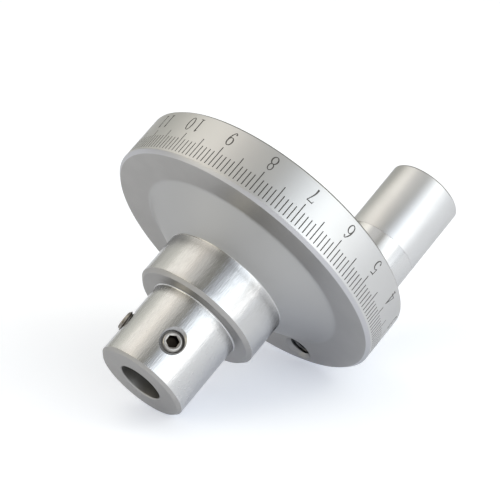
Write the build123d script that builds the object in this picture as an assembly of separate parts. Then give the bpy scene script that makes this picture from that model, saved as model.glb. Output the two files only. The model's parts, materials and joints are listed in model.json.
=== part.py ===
from build123d import *
import os
from math import cos, radians, sin

# Graduated handwheel in millimetres.
# The bore's axis is Y. The nose, which takes the shaft, points to +Y and ends at the origin.
# The handle stands on the other side, towards -Y, and hangs at the bottom, towards -Z.

# Wheel
wheel_diameter = 80.0
rim_width = 14.3
rim_near_chamfer = 0.9
rim_far_chamfer = 0.5

# Division lines, V-shaped cuts in the rim from near its chamfer, counted from the bottom
division_count = 200
divisions_per_long_line = 5
line_from_chamfer = 0.6
line_width = 0.3
line_depth = 0.2
short_line_length = 4.1
long_line_length = 6.0

# Flat ring beside the rim, and the cone between it and the collar
flat_ring_width = 10.7
cone_height = 6.7
cone_foot_fillet = 3.0

# Collar and nose
collar_diameter = 35.0
collar_length = 12.7
collar_chamfer = 1.0
nose_diameter = 25.0
nose_length = 22.0
nose_chamfer = 0.8

# Shaft bore, right through
bore_diameter = 12.0
bore_chamfer = 0.3

# Clearances, all radial
thread_clearance = 0.05
running_clearance = 0.04
counterbore_clearance = 0.1

# Set screws, with the angles counted round the bore from the top towards +X
set_screw_diameter = 6.0
set_screw_length = 5.0
set_screw_hexagon = 3.0
set_screw_socket_depth = 2.2
set_screw_end_chamfer = 0.8
set_screw_tip_diameter = 3.6
set_screw_tip_height = 1.2
set_screw_cup_depth = 0.6
set_screw_from_nose_end = 10.1
set_screw_countersink_diameter = 7.6
set_screw_left_angle = -48.0
set_screw_right_angle = 42.0
set_screw_left_proud = -0.7
set_screw_right_proud = 0.9

# Handle
handle_from_rim = 6.0
handle_diameter = 21.0
handle_length = 44.3
post_base_length = 22.6
post_edge_chamfer = 0.3
grip_end_chamfer = 0.5
axial_play = 0.1

# Threaded spigot of the post in the wheel
spigot_diameter = 6.0
spigot_recess = 3.0
spigot_chamfer = 0.5
spigot_hole_chamfer = 0.95

# Journal, bushes and what holds the grip on
journal_diameter = 10.0
bush_wall = 1.0
bush_recess = 0.5
oil_space_length = 1.8
washer_diameter = 14.0
washer_thickness = 1.2
washer_hole_diameter = 5.4
retaining_screw_diameter = 5.0
retaining_screw_engagement = 9.0
retaining_hole_spare = 2.0
retaining_head_diameter = 8.5
retaining_head_height = 5.0
retaining_head_recess = 0.5
retaining_hexagon = 4.0
retaining_socket_depth = 2.5

# Places along the bore's axis
nose_end_y = 0.0
collar_front_y = nose_end_y - nose_length
cone_top_y = collar_front_y - collar_length
rim_near_y = cone_top_y - cone_height
rim_far_y = rim_near_y - rim_width
set_screw_y = nose_end_y - set_screw_from_nose_end
line_start_y = rim_near_y - rim_near_chamfer - line_from_chamfer

# Places along the handle's axis
seam_y = rim_far_y - post_base_length
handle_end_y = rim_far_y - handle_length
head_top_y = handle_end_y + retaining_head_recess
washer_outer_y = head_top_y + retaining_head_height
journal_end_y = washer_outer_y + washer_thickness
grip_inner_y = seam_y - axial_play
washer_seat_y = journal_end_y + axial_play
bush_length = (grip_inner_y - washer_seat_y - oil_space_length) / 2 - bush_recess
handle_radius_position = wheel_diameter / 2 - handle_from_rim
handle_axis = Axis((0, 0, -handle_radius_position), (0, 1, 0))

# Radii worked out from the fits
set_screw_hole_radius = set_screw_diameter / 2 + thread_clearance
spigot_hole_radius = spigot_diameter / 2 + thread_clearance
retaining_hole_radius = retaining_screw_diameter / 2 + thread_clearance
bush_inner_radius = journal_diameter / 2 + running_clearance
bush_outer_radius = bush_inner_radius + bush_wall
counterbore_radius = washer_diameter / 2 + counterbore_clearance


def corner(sketch, point):
    """The corner of a sketch that lies at a point."""
    return sketch.vertices().sort_by_distance(point)[0]


def turned(points, chamfers, fillets, axis=Axis.Y, offset=0.0):
    """A turned solid from its half section.

    The points are (radius, place along the axis). Chamfers and fillets are (point, size).
    The section is drawn beside the axis, which lies `offset` below the bore's axis.
    """
    section = make_face(Polyline(*points, close=True))
    for point, size in chamfers:
        section = chamfer(corner(section, point), size)
    for point, size in fillets:
        section = fillet(corner(section, point), size)
    return revolve(Pos(0, 0, -offset) * section, axis)


def radial_plane(angle, radius, y):
    """A plane on the bore's side at an angle from the top, looking outwards."""
    outward = (sin(radians(angle)), 0, cos(radians(angle)))
    origin = (radius * outward[0], y, radius * outward[2])
    return Plane(origin=origin, x_dir=(0, 1, 0), z_dir=outward)


def hexagon_socket(across_flats, depth):
    """The hollow of a hexagon socket that opens upwards at the origin."""
    return extrude(RegularPolygon(across_flats / 2, 6, major_radius=False), -depth)


def division_line(number):
    """The cutter of one division line: a V along the bore's axis, as deep and as wide again outside."""
    angle = radians(180 + 360 * number / division_count)
    outward = (sin(angle), 0, cos(angle))
    plane = Plane(origin=(0, line_start_y, 0), x_dir=outward, z_dir=(0, -1, 0))
    bottom = wheel_diameter / 2 - line_depth
    top = wheel_diameter / 2 + line_depth
    section = make_face(Polyline((bottom, 0), (top, line_width), (top, -line_width), close=True))
    length = short_line_length if number % divisions_per_long_line else long_line_length
    return extrude(plane * section, length, dir=(0, -1, 0))


def make_wheel():
    """Rim, cone, collar and nose in one turned piece, with its bore, tapped holes and division lines."""
    bore_radius = bore_diameter / 2
    nose_radius = nose_diameter / 2
    collar_radius = collar_diameter / 2
    wheel_radius = wheel_diameter / 2
    bore_mouth = (bore_radius, nose_end_y)
    nose_edge = (nose_radius, nose_end_y)
    nose_root = (nose_radius, collar_front_y)
    collar_edge = (collar_radius, collar_front_y)
    collar_root = (collar_radius, cone_top_y)
    cone_foot = (wheel_radius - flat_ring_width, rim_near_y)
    near_edge = (wheel_radius, rim_near_y)
    far_edge = (wheel_radius, rim_far_y)
    bore_back = (bore_radius, rim_far_y)
    outline = [bore_mouth, nose_edge, nose_root, collar_edge, collar_root, cone_foot,
               near_edge, far_edge, bore_back]
    chamfers = [(bore_mouth, bore_chamfer), (nose_edge, nose_chamfer), (collar_edge, collar_chamfer),
                (near_edge, rim_near_chamfer), (far_edge, rim_far_chamfer), (bore_back, bore_chamfer)]
    wheel = turned(outline, chamfers, [(cone_foot, cone_foot_fillet)])

    # Tapped cross holes for the set screws, from the bore out through the nose
    sink_depth = set_screw_countersink_diameter / 2 - set_screw_hole_radius
    for angle in (set_screw_left_angle, set_screw_right_angle):
        hole = radial_plane(angle, 0, set_screw_y) * Cylinder(
            set_screw_hole_radius, nose_diameter, align=(Align.CENTER, Align.CENTER, Align.MIN))
        sink = radial_plane(angle, nose_radius - sink_depth, set_screw_y) * Cone(
            set_screw_hole_radius, set_screw_hole_radius + 2 * sink_depth, 2 * sink_depth,
            align=(Align.CENTER, Align.CENTER, Align.MIN))
        wheel = wheel - hole - sink

    # Tapped hole for the handle's spigot, chamfered on the face that shows
    hole_outline = [(0, rim_near_y), (spigot_hole_radius + spigot_hole_chamfer, rim_near_y),
                    (spigot_hole_radius, rim_near_y - spigot_hole_chamfer),
                    (spigot_hole_radius, rim_far_y), (0, rim_far_y)]
    wheel = wheel - turned(hole_outline, [], [], handle_axis, handle_radius_position)
    return wheel - [division_line(number) for number in range(division_count)]


def make_set_screw(angle, proud):
    """A cup point set screw whose outer end stands `proud` of the nose, below it when negative."""
    radius = set_screw_diameter / 2
    end_edge = (radius, 0)
    outline = [(0, 0), end_edge, (radius, -set_screw_length + set_screw_tip_height),
               (set_screw_tip_diameter / 2, -set_screw_length), (0, -set_screw_length + set_screw_cup_depth)]
    section = make_face(Polyline(*outline, close=True))
    section = chamfer(corner(section, end_edge), set_screw_end_chamfer)
    body = revolve(Plane.XZ * section, Axis.Z)
    body = body - hexagon_socket(set_screw_hexagon, set_screw_socket_depth)
    return radial_plane(angle, nose_diameter / 2 + proud, set_screw_y) * body


def make_post():
    """The fixed half of the handle: spigot, base, journal and the tapped hole in its end."""
    spigot_radius = spigot_diameter / 2
    base_radius = handle_diameter / 2
    journal_radius = journal_diameter / 2
    spigot_end = (spigot_radius, rim_near_y - spigot_recess)
    base_foot = (base_radius, rim_far_y)
    outline = [(0, spigot_end[1]), spigot_end, (spigot_radius, rim_far_y), base_foot,
               (base_radius, seam_y), (journal_radius, seam_y),
               (journal_radius, journal_end_y), (0, journal_end_y)]
    chamfers = [(spigot_end, spigot_chamfer), (base_foot, post_edge_chamfer)]
    post = turned(outline, chamfers, [], handle_axis, handle_radius_position)
    hole_bottom_y = journal_end_y + retaining_screw_engagement + retaining_hole_spare
    hole = turned([(0, journal_end_y), (retaining_hole_radius, journal_end_y),
                   (retaining_hole_radius, hole_bottom_y), (0, hole_bottom_y)],
                  [], [], handle_axis, handle_radius_position)
    return post - hole


def make_grip():
    """The revolving sleeve, bored for its bushes and counterbored for the washer."""
    outer_radius = handle_diameter / 2
    outer_edge = (outer_radius, handle_end_y)
    outline = [(bush_outer_radius, grip_inner_y), (outer_radius, grip_inner_y), outer_edge,
               (counterbore_radius, handle_end_y), (counterbore_radius, washer_seat_y),
               (bush_outer_radius, washer_seat_y)]
    return turned(outline, [(outer_edge, grip_end_chamfer)], [], handle_axis, handle_radius_position)


def make_bush(near_end_y):
    """A plain bush, pressed into the grip with its end that lies nearer the wheel at a place."""
    outline = [(bush_inner_radius, near_end_y), (bush_outer_radius, near_end_y),
               (bush_outer_radius, near_end_y - bush_length),
               (bush_inner_radius, near_end_y - bush_length)]
    return turned(outline, [], [], handle_axis, handle_radius_position)


def make_washer():
    """The washer on the journal's end."""
    outline = [(washer_hole_diameter / 2, journal_end_y), (washer_diameter / 2, journal_end_y),
               (washer_diameter / 2, washer_outer_y), (washer_hole_diameter / 2, washer_outer_y)]
    return turned(outline, [], [], handle_axis, handle_radius_position)


def make_retaining_screw():
    """The socket head screw that holds the washer to the journal."""
    shank_radius = retaining_screw_diameter / 2
    head_radius = retaining_head_diameter / 2
    shank_end_y = journal_end_y + retaining_screw_engagement
    outline = [(0, shank_end_y), (shank_radius, shank_end_y), (shank_radius, washer_outer_y),
               (head_radius, washer_outer_y), (head_radius, head_top_y), (0, head_top_y)]
    screw = turned(outline, [], [], handle_axis, handle_radius_position)
    socket_plane = Plane(origin=(0, head_top_y, -handle_radius_position), z_dir=(0, -1, 0))
    return screw - socket_plane * hexagon_socket(retaining_hexagon, retaining_socket_depth)


nodes = {
    "wheel": make_wheel(),
    "set_screw_left": make_set_screw(set_screw_left_angle, set_screw_left_proud),
    "set_screw_right": make_set_screw(set_screw_right_angle, set_screw_right_proud),
    "handle_post": make_post(),
    "handle_grip": make_grip(),
    "inner_bush": make_bush(grip_inner_y - bush_recess),
    "outer_bush": make_bush(washer_seat_y + bush_recess + bush_length),
    "retaining_washer": make_washer(),
    "retaining_screw": make_retaining_screw(),
}

os.makedirs("parts", exist_ok=True)
for name, solid in nodes.items():
    export_step(solid, f"parts/{name}.step")
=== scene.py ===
# %% [markdown]
# # Graduated handwheel
#
# A small handwheel turned from one piece of aluminium. Its rim is divided into two hundred parts with
# twenty numbers, its stepped hub takes a shaft, and a handle stands on its other side.
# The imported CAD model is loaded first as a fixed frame. Every piece made here takes its place from it.

# %% Load the frame
import json
from math import cos, pi, radians, sin, tan

import bmesh
import bpy
from mathutils import Matrix, Vector

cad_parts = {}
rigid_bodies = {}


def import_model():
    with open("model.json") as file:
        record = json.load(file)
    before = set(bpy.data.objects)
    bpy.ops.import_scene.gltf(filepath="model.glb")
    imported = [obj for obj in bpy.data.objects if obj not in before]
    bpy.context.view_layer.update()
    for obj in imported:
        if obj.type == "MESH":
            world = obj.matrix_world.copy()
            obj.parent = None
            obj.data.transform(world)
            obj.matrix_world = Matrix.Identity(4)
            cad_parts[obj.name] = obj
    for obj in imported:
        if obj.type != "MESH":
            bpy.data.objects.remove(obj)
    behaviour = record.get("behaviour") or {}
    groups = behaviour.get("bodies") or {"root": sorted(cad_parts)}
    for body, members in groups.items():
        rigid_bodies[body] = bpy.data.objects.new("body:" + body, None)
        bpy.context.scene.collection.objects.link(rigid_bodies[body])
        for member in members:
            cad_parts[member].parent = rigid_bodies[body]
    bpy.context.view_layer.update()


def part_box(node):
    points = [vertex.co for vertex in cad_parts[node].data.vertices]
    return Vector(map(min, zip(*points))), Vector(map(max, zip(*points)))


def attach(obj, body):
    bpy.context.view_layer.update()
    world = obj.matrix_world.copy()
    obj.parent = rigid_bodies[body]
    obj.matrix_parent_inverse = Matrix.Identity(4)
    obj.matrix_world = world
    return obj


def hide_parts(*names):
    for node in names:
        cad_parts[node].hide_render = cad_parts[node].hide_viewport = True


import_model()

# %% [markdown]
# ## Sizes
#
# A turned part is known by its half section, so its sizes are radii and places along the axis. The wheel's
# axis is Y, with the end of the nose at zero. What the frame's boxes give is read from them. The rest is
# written here in millimetres, as on a drawing.

# %% Sizes from the frame and from the drawing
mm = 0.001


def from_box(value):
    """A length of a CAD box in millimetres, to the nearest hundredth, since a mesh has facets."""
    return round(value / mm, 2)


wheel_low, wheel_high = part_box("wheel")
post_low, post_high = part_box("handle_post")
grip_low, grip_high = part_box("handle_grip")
screw_low, screw_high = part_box("retaining_screw")
washer_low, washer_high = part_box("retaining_washer")

wheel_radius = from_box(wheel_high.z)
rim_far = from_box(wheel_low.y)
handle_drop = -from_box((post_low.z + post_high.z) / 2)
handle_radius = from_box(post_high.x)
grip_inner_end = from_box(grip_high.y)
grip_outer_end = from_box(grip_low.y)
journal_end = from_box(post_low.y)
spigot_end = from_box(post_high.y)

rim_near = -41.4
cone_top = -34.7
collar_front = -22.0
nose_radius = 12.5
collar_radius = 17.5
cone_foot_radius = 29.3
bore_radius = 6.0
print("wheel radius", wheel_radius, "handle below the axis", handle_drop)
print("grip from", grip_inner_end, "to", grip_outer_end)

# %% [markdown]
# ## Round pieces
#
# Everything here but the screws' sockets is turned on a lathe. A lathe piece is an outline swung round an
# axis. Screw and Spin in Blender do that, but here the rings are written directly, because the same
# function then also makes threads and hexagon sockets, whose radius changes round the ring.
# Real edges are never sharp, so each corner of an outline is given a small radius.

# %% An outline with rounded corners
def rounded(corners, steps=4):
    """Points of a closed outline. Each corner is (radius, place, rounding), all in millimetres."""
    points = []
    for number, (radius, place, rounding) in enumerate(corners):
        here = Vector((radius, place))
        if rounding == 0:
            points.append(tuple(here))
            continue
        into = (Vector(corners[number - 1][:2]) - here).normalized()
        onward = (Vector(corners[(number + 1) % len(corners)][:2]) - here).normalized()
        half = into.angle(onward) / 2
        centre = here + (into + onward).normalized() * (rounding / sin(half))
        first = here + into * (rounding / tan(half)) - centre
        last = here + onward * (rounding / tan(half)) - centre
        turn = first.angle_signed(last)
        for step in range(steps + 1):
            spoke = first.copy()
            spoke.rotate(Matrix.Rotation(-turn * step / steps, 2))
            points.append(tuple(centre + spoke))
    return points


def spread(points, longest):
    """The same outline with long straight stretches divided, so that later cuts meet small faces."""
    result = []
    for number, point in enumerate(points):
        here, after = Vector(point), Vector(points[(number + 1) % len(points)])
        pieces = max(1, round((after - here).length / longest))
        result += [tuple(here.lerp(after, part / pieces)) for part in range(pieces)]
    return result


# %% Rings joined into a closed skin
def linked(name, data):
    """A new object in the scene, at the origin."""
    made = bpy.data.objects.new(name, data)
    bpy.context.scene.collection.objects.link(made)
    return made


def skin(name, rows, segments, closed=False):
    """A mesh from rings round the Y axis, in metres.

    A row is (radius, place), or a function of the angle that gives such a pair, in millimetres. A radius of
    zero is a pole. A closed skin joins its last row to its first one, as on a washer.
    """
    mesh = bmesh.new()
    rings = []
    for row in rows:
        if not callable(row) and row[0] == 0:
            rings.append([mesh.verts.new((0, row[1] * mm, 0))])
            continue
        ring = []
        for number in range(segments):
            angle = 2 * pi * number / segments
            radius, place = row(angle) if callable(row) else row
            ring.append(mesh.verts.new((radius * sin(angle) * mm, place * mm, radius * cos(angle) * mm)))
        rings.append(ring)
    pairs = list(zip(rings, rings[1:])) + ([(rings[-1], rings[0])] if closed else [])
    for one, other in pairs:
        for number in range(segments):
            after = (number + 1) % segments
            corners = [one[number % len(one)], one[after % len(one)],
                       other[after % len(other)], other[number % len(other)]]
            mesh.faces.new(list(dict.fromkeys(corners)))
    bmesh.ops.recalc_face_normals(mesh, faces=mesh.faces)
    data = bpy.data.meshes.new(name)
    mesh.to_mesh(data)
    mesh.free()
    return linked(name, data)


# %% Shading and cleaning of a piece
sharpest_angle = 30


def smooth(piece):
    """Smooth shading, with edges kept sharp where faces meet at more than the sharpest angle."""
    piece.data.shade_smooth()
    piece.data.set_sharp_from_angle(angle=radians(sharpest_angle))
    print(piece.name, len(piece.data.vertices), "points,", len(piece.data.polygons), "faces")
    return piece


def cleaned(piece):
    """Merges doubles and turns every face outwards."""
    mesh = bmesh.new()
    mesh.from_mesh(piece.data)
    bmesh.ops.remove_doubles(mesh, verts=mesh.verts, dist=1e-7)
    bmesh.ops.recalc_face_normals(mesh, faces=mesh.faces)
    mesh.to_mesh(piece.data)
    mesh.free()
    return piece


def turned(name, outline, segments=96, drop=0.0):
    """A lathe piece from its closed outline, with its axis a drop in millimetres below the wheel's."""
    piece = skin(name, outline, segments, closed=True)
    piece.data.transform(Matrix.Translation((0, 0, -drop * mm)))
    return piece


# %% [markdown]
# ## The wheel's blank
#
# The blank is the wheel before it is drilled and divided: nose, collar, cone, flat ring and rim. Cylinders
# and cones could be stacked and joined, but the seams between them would show. Here it is one closed
# outline, so it is one piece, as the real one was turned from one bar.

# %% Blank of the wheel
nose_chamfer = 0.8
collar_chamfer = 1.0
rim_chamfer = 0.9
far_chamfer = 0.5
bore_chamfer = 0.3
edge = 0.12
bore_edge = 0.08
wheel_outline = rounded([
    (bore_radius + bore_chamfer, 0, bore_edge),
    (nose_radius - nose_chamfer, 0, edge),
    (nose_radius, -nose_chamfer, edge),
    (nose_radius, collar_front, 0.4),
    (collar_radius - collar_chamfer, collar_front, edge),
    (collar_radius, collar_front - collar_chamfer, edge),
    (collar_radius, cone_top, 0.5),
    (cone_foot_radius, rim_near, 3.0),
    (wheel_radius - rim_chamfer, rim_near, edge),
    (wheel_radius, rim_near - rim_chamfer, edge),
    (wheel_radius, rim_far + far_chamfer, edge),
    (wheel_radius - far_chamfer, rim_far, edge),
    (bore_radius + bore_chamfer, rim_far, bore_edge),
    (bore_radius, rim_far + bore_chamfer, bore_edge),
    (bore_radius, -bore_chamfer, bore_edge),
])
wheel = turned("wheel_body", spread(wheel_outline, longest=1.5), segments=360)
print("blank of the wheel:", len(wheel_outline), "outline points,", len(wheel.data.polygons), "faces")

# %% [markdown]
# ## The scale
#
# The real lines are cut one by one with a pointed tool while the wheel is indexed round. An Array modifier
# round an empty could repeat one line, but not make every fifth one longer. Here they are laid out flat, as
# on a paper strip as long as the rim, and a Geometry Nodes tree then wraps the strip round the rim. What the
# tree makes is the shape of the tool's cuts, and it is cut out of the blank at the end with the holes.

# %% Trees, nodes and sums
def new_tree(name, inputs):
    """A Geometry Nodes tree with a geometry output, and inputs given as (name, kind)."""
    tree = bpy.data.node_groups.new(name, "GeometryNodeTree")
    tree.interface.new_socket("Geometry", in_out="OUTPUT", socket_type="NodeSocketGeometry")
    for title, kind in inputs:
        tree.interface.new_socket(title, in_out="INPUT", socket_type=f"NodeSocket{kind}")
    return tree, tree.nodes.new("NodeGroupInput"), tree.nodes.new("NodeGroupOutput")


def feed(tree, node, inputs):
    """Sets inputs by name or number, each to a value, a socket, or (node, name or number of its output)."""
    for name, source in inputs.items():
        if isinstance(source, tuple) and isinstance(source[0], bpy.types.Node):
            source = source[0].outputs[source[1]]
        if isinstance(source, bpy.types.NodeSocket):
            tree.links.new(source, node.inputs[name])
        else:
            node.inputs[name].default_value = source


def add_node(tree, kind, inputs=None, **settings):
    """A new node with its settings and inputs."""
    node = tree.nodes.new(kind)
    for setting, value in settings.items():
        setattr(node, setting, value)
    feed(tree, node, inputs or {})
    return node


def calculate(tree, operation, first, second=0.0):
    """A math node on two values or sockets, and its output."""
    return add_node(tree, "ShaderNodeMath", {0: first, 1: second}, operation=operation).outputs[0]


def vector_of(tree, x=0.0, y=0.0, z=0.0):
    """A vector of three values or sockets."""
    return add_node(tree, "ShaderNodeCombineXYZ", {"X": x, "Y": y, "Z": z}).outputs[0]


# %% Points along a strip, and the strip wrapped round the rim
def strip_points(tree, group_in, start, shift=0.0):
    """Points along the flat strip, one for each line or number, the first at the bottom of the rim."""
    half = calculate(tree, "MULTIPLY", (group_in, "Radius"), pi)
    spacing = calculate(tree, "DIVIDE", calculate(tree, "MULTIPLY", half, 2.0), (group_in, "Count"))
    return add_node(tree, "GeometryNodeMeshLine", {
        "Count": (group_in, "Count"), "Offset": vector_of(tree, spacing),
        "Start Location": vector_of(tree, calculate(tree, "ADD", half, shift), start)}).outputs[0]


def wrap_round(tree, geometry, radius):
    """Wraps a flat strip round the Y axis: its X becomes an angle and its Z a height above the radius."""
    flat = add_node(tree, "ShaderNodeSeparateXYZ", {0: (add_node(tree, "GeometryNodeInputPosition"), 0)})
    angle = calculate(tree, "DIVIDE", (flat, "X"), radius)
    height = calculate(tree, "ADD", (flat, "Z"), radius)
    across = calculate(tree, "MULTIPLY", height, calculate(tree, "SINE", angle))
    up = calculate(tree, "MULTIPLY", height, calculate(tree, "COSINE", angle))
    place = vector_of(tree, across, (flat, "Y"), up)
    return add_node(tree, "GeometryNodeSetPosition", {"Geometry": geometry, "Position": place}).outputs[0]


def copies_round_rim(tree, group_in, group_out, inputs):
    """Ends a tree: instances on a strip's points, made real, wrapped round the rim and given a material."""
    copies = add_node(tree, "GeometryNodeInstanceOnPoints", inputs)
    real = add_node(tree, "GeometryNodeRealizeInstances", {0: (copies, 0)})
    paint = add_node(tree, "GeometryNodeSetMaterial", {
        "Geometry": wrap_round(tree, (real, 0), (group_in, "Radius")), "Material": (group_in, "Material")})
    feed(tree, group_out, {0: (paint, 0)})


# %% From a tree or a modifier to a plain mesh
def settled(piece):
    """The same object with the result of its modifiers as a plain mesh, and the modifiers removed."""
    evaluated = piece.evaluated_get(bpy.context.evaluated_depsgraph_get())
    made = bpy.data.meshes.new_from_object(evaluated)
    piece.modifiers.clear()
    piece.data = made
    return piece


def grown(name, tree, values):
    """A plain mesh object made by a tree, with the tree's inputs set by their identifiers."""
    carrier = linked(name, bpy.data.meshes.new(name))
    modifier = carrier.modifiers.new("grow", "NODES")
    modifier.node_group = tree
    for socket in tree.interface.items_tree:
        if socket.in_out == "INPUT":
            modifier[socket.identifier] = values[socket.name]
    return settled(carrier)


# %% Materials of the cut faces, filled in later
def blank_material(name):
    """A new material with only its Principled BSDF and output, and that shader."""
    material = bpy.data.materials.new(name)
    material.use_nodes = True
    return material, material.node_tree.nodes["Principled BSDF"]


scale_paint, scale_shader = blank_material("scale_paint")
drilled_metal, drilled_shader = blank_material("drilled_metal")
print("materials of the cuts:", scale_paint.name, drilled_metal.name)

# %% Cutter of one division line
division_count = 200
divisions_per_long_line = 5
divisions_per_number = 10
line_start = rim_near - 1.5
line_width = 0.27
line_depth = 0.2
short_line = 4.1
long_line = 6.0


def mesh_of(name, points, faces):
    """A mesh from points in metres and faces."""
    data = bpy.data.meshes.new(name)
    data.from_pydata(points, [], faces)
    return data


tool_ends = [(0, 0, -1), (1, 0, 1), (-1, 0, 1), (0, -1, -1), (1, -1, 1), (-1, -1, 1)]
tool_faces = [(0, 1, 2), (3, 5, 4), (0, 3, 4, 1), (1, 4, 5, 2), (2, 5, 3, 0)]
tool = bpy.data.objects.new("line_tool", mesh_of("line_tool", tool_ends, tool_faces))
print("tool of a line:", len(tool.data.polygons), "faces, scaled to", line_width, "by", line_depth, "mm")

# %% Tree of the division lines
line_tree, group_in, group_out = new_tree("Division lines", [
    ("Tool", "Object"), ("Count", "Int"), ("Long Every", "Int"), ("Radius", "Float"), ("Start", "Float"),
    ("Short Length", "Float"), ("Long Length", "Float"), ("Width", "Float"), ("Depth", "Float"),
    ("Material", "Material")])
index = add_node(line_tree, "GeometryNodeInputIndex")
remainder = calculate(line_tree, "MODULO", (index, 0), (group_in, "Long Every"))
is_short = calculate(line_tree, "MINIMUM", remainder, 1.0)
extra = calculate(line_tree, "SUBTRACT", (group_in, "Short Length"), (group_in, "Long Length"))
shorter = calculate(line_tree, "MULTIPLY", is_short, extra)
length = calculate(line_tree, "ADD", (group_in, "Long Length"), shorter)
tool_info = add_node(line_tree, "GeometryNodeObjectInfo", {"Object": (group_in, "Tool")})
copies_round_rim(line_tree, group_in, group_out, {
    "Points": strip_points(line_tree, group_in, (group_in, "Start")), "Instance": (tool_info, "Geometry"),
    "Scale": vector_of(line_tree, (group_in, "Width"), length, (group_in, "Depth"))})

lines = grown("division_lines", line_tree, {
    "Tool": tool, "Count": division_count, "Long Every": divisions_per_long_line,
    "Radius": wheel_radius * mm, "Start": line_start * mm, "Short Length": short_line * mm,
    "Long Length": long_line * mm, "Width": line_width * mm, "Depth": line_depth * mm,
    "Material": scale_paint})
print("division lines:", len(lines.data.polygons), "faces")

# %% [markdown]
# ## The numbers
#
# The figures have the upright, slightly pinched shape of an engraver's alphabet, with hairlines, heavier
# stems and small round ends. Each figure is a few strokes: a smooth line through a handful of points, with
# a width that may change along it. A font would be quicker, but none of the fonts that come with Blender
# has this shape.

# %% A smooth line through points
def smooth_line(points, steps=6):
    """A Catmull-Rom line through points that are (x, y, width)."""
    last = len(points) - 1
    result = []
    for number in range(last):
        near = [points[min(max(number + step, 0), last)] for step in (-1, 0, 1, 2)]
        for step in range(steps):
            t = step / steps
            weights = (-t + 2 * t**2 - t**3, 2 - 5 * t**2 + 3 * t**3, t + 4 * t**2 - 3 * t**3, t**3 - t**2)
            result.append(tuple(sum(weight * point[axis] for weight, point in zip(weights, near)) / 2
                                for axis in range(3)))
    return result + [points[last]]


# %% A flat bar of any outline
engraved_depth = 0.12
above_surface = 0.25


def prism(name, left, right, closed):
    """A flat bar between two rows of points, from below the surface to above it."""
    count = len(left)
    levels = (-engraved_depth, above_surface)
    points = [(x * mm, y * mm, z * mm) for z in levels for row in (left, right) for x, y in row]
    rows = [range(count * part, count * (part + 1)) for part in range(4)]
    faces = []
    for number in range(count if closed else count - 1):
        after = (number + 1) % count
        for one, other in ((0, 1), (1, 3), (3, 2), (2, 0)):
            faces.append((rows[one][number], rows[one][after], rows[other][after], rows[other][number]))
    if not closed:
        faces += [tuple(rows[part][end] for part in (0, 1, 3, 2)) for end in (0, count - 1)]
    return cleaned(linked(name, mesh_of(name, points, faces)))


# %% Strokes, ovals and dots
def stroke(points, closed=False, bent=True):
    """One stroke of a figure, as a solid."""
    line = smooth_line(points) if bent else points
    left, right = [], []
    for number, (x, y, width) in enumerate(line):
        before = line[number - 1] if closed or number else line[number]
        after = line[(number + 1) % len(line)] if closed or number < len(line) - 1 else line[number]
        along = Vector((after[0] - before[0], after[1] - before[1])).normalized() * (width / 2)
        left.append((x - along.y, y + along.x))
        right.append((x + along.y, y - along.x))
    return prism("stroke", left, right, closed)


def loop(x, y, across, up, thin, thick, sides=28):
    """A closed oval stroke, heavier at its sides."""
    points = []
    for number in range(sides):
        angle = 2 * pi * number / sides
        width = thin + (thick - thin) * abs(cos(angle)) ** 1.5
        points.append((x + across * cos(angle), y + up * sin(angle), width))
    return stroke(points, closed=True, bent=False)


def dot(x, y, radius=0.2):
    """The round end of a stroke, its left side a hair narrower than its right one."""
    angles = [pi * number / 8 for number in range(1, 8)]
    left = [(x - radius * sin(angle) * 0.999, y - radius * cos(angle)) for angle in angles]
    right = [(x + radius * sin(angle), y - radius * cos(angle)) for angle in angles]
    return prism("dot", left, right, closed=False)


# %% Joining and cutting solids
def cut(piece, other, operation):
    """Applies one exact boolean and removes the other solid."""
    modifier = piece.modifiers.new("cut", "BOOLEAN")
    modifier.operation = operation
    modifier.solver = "EXACT"
    modifier.material_mode = "TRANSFER"
    modifier.object = other
    settled(piece)
    bpy.data.objects.remove(other)


# %% The ten figures
thin, mid, thick = 0.2, 0.26, 0.34
figure_width = 1.9
figure_height = 3.84


def turn_over(piece):
    """Half a turn about the middle of a figure, which makes a nine of a six."""
    half_turn = Matrix.Rotation(pi, 4, "Z")
    piece.data.transform(Matrix.Translation((figure_width * mm, figure_height * mm, 0)) @ half_turn)
    return piece


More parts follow.
